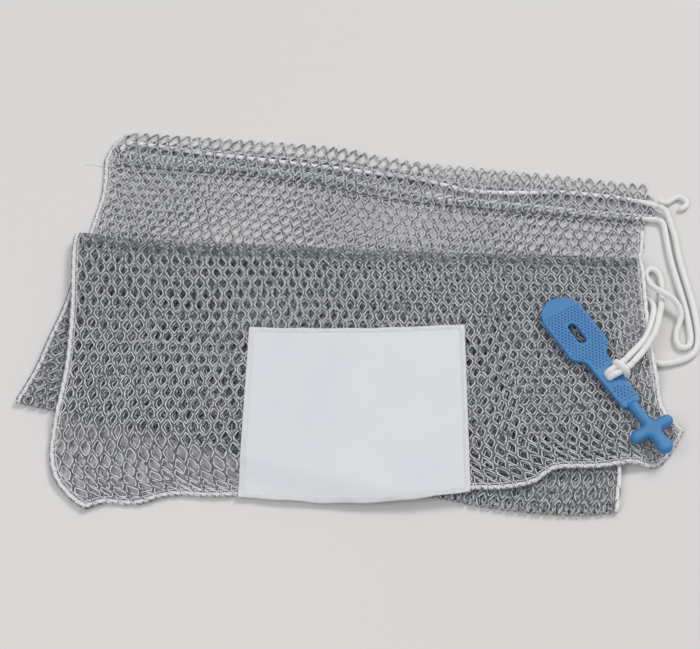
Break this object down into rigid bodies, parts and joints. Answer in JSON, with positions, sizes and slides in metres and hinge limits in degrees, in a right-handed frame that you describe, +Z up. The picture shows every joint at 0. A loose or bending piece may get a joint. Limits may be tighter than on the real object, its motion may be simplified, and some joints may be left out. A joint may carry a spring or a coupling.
{
  "type": "mesh laundry bag",
  "caption": "Net laundry bag lying folded in three, with overlocked seams, a cased drawstring mouth, a sewn identification patch and a slotted rubber closure.",
  "frame": {"origin": "on the table, under the middle of the folded bag", "axes": "+Z up; +X along the width of the bag, towards the side with the closure; +Y towards the mouth"},
  "size_m": [0.5983, 0.398, 0.0239],
  "materials": {
    "net_yarn": "matt heathered polyester net",
    "seam_thread": "matt overlock thread",
    "stitch_thread": "matt sewing thread",
    "patch_fabric": "smooth close-woven fabric",
    "drawstring": "soft braided polyester",
    "closure_rubber": "satin moulded rubber"
  },
  "bodies": {
    "bag": {"front_panel_net": "net_yarn", "back_panel_net": "net_yarn", "left_side_seam": "seam_thread", "right_side_seam": "seam_thread", "bottom_seam": "seam_thread", "front_hem_stitching": "stitch_thread", "back_hem_stitching": "stitch_thread", "id_patch": "patch_fabric", "patch_stitching": "stitch_thread", "casing_drawstring": "drawstring", "free_strand_outer": "drawstring", "free_strand_inner": "drawstring", "drawstring_cut_end": "drawstring"},
    "drawstring_knot": {"closure_knot": "drawstring"},
    "closure": {"rubber_closure": "closure_rubber"}
  },
  "joints": [
    {"name": "drawstring_pull", "type": "slide", "parent": "bag", "child": "drawstring_knot", "axis": [0, -1, 0], "range_m": [0, 0.08]},
    {"name": "closure_swivel", "type": "hinge", "parent": "drawstring_knot", "child": "closure", "pos_m": [0.2167, -0.07717, 0.01565], "axis": [0, 0, 1], "range_deg": [-10, 28]}
  ]
}
